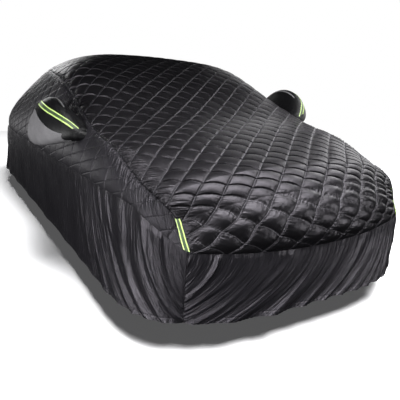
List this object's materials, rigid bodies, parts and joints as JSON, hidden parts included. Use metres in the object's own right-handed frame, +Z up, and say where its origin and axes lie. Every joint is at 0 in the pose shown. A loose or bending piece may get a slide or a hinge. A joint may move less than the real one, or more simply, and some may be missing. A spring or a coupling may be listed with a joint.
{
  "type": "car cover",
  "caption": "Fitted quilted cover for a saloon car: padded diamond top and side bands, plain draped skirts, side pockets and reflective strips, hollow inside.",
  "frame": {"origin": "underside of the roof cloth, on the centre line, where the cover hangs", "axes": "+Z up, -Y towards the front of the cover, -X towards its right side"},
  "size_m": [2.2593, 4.5799, 1.2732],
  "materials": {
    "quilted_cloth": "glossy black woven polyester over padding",
    "plain_cloth": "satin dark charcoal woven polyester",
    "pocket_cloth": "satin black woven polyester",
    "grey_cloth": "matt mid grey woven polyester",
    "reflective_tape": "reflective yellow-green tape with a grey middle"
  },
  "bodies": {
    "root": {"top_panel": "quilted_cloth", "band_right": "quilted_cloth", "band_left": "quilted_cloth", "skirt_right": "plain_cloth", "skirt_left": "plain_cloth", "skirt_front": "plain_cloth", "skirt_rear": "plain_cloth", "pocket_right": "pocket_cloth", "pocket_left": "pocket_cloth", "pocket_right_patch": "grey_cloth", "pocket_left_patch": "grey_cloth", "pocket_right_strip": "reflective_tape", "pocket_left_strip": "reflective_tape", "corner_right_strip": "reflective_tape", "corner_left_strip": "reflective_tape"}
  },
  "joints": []
}
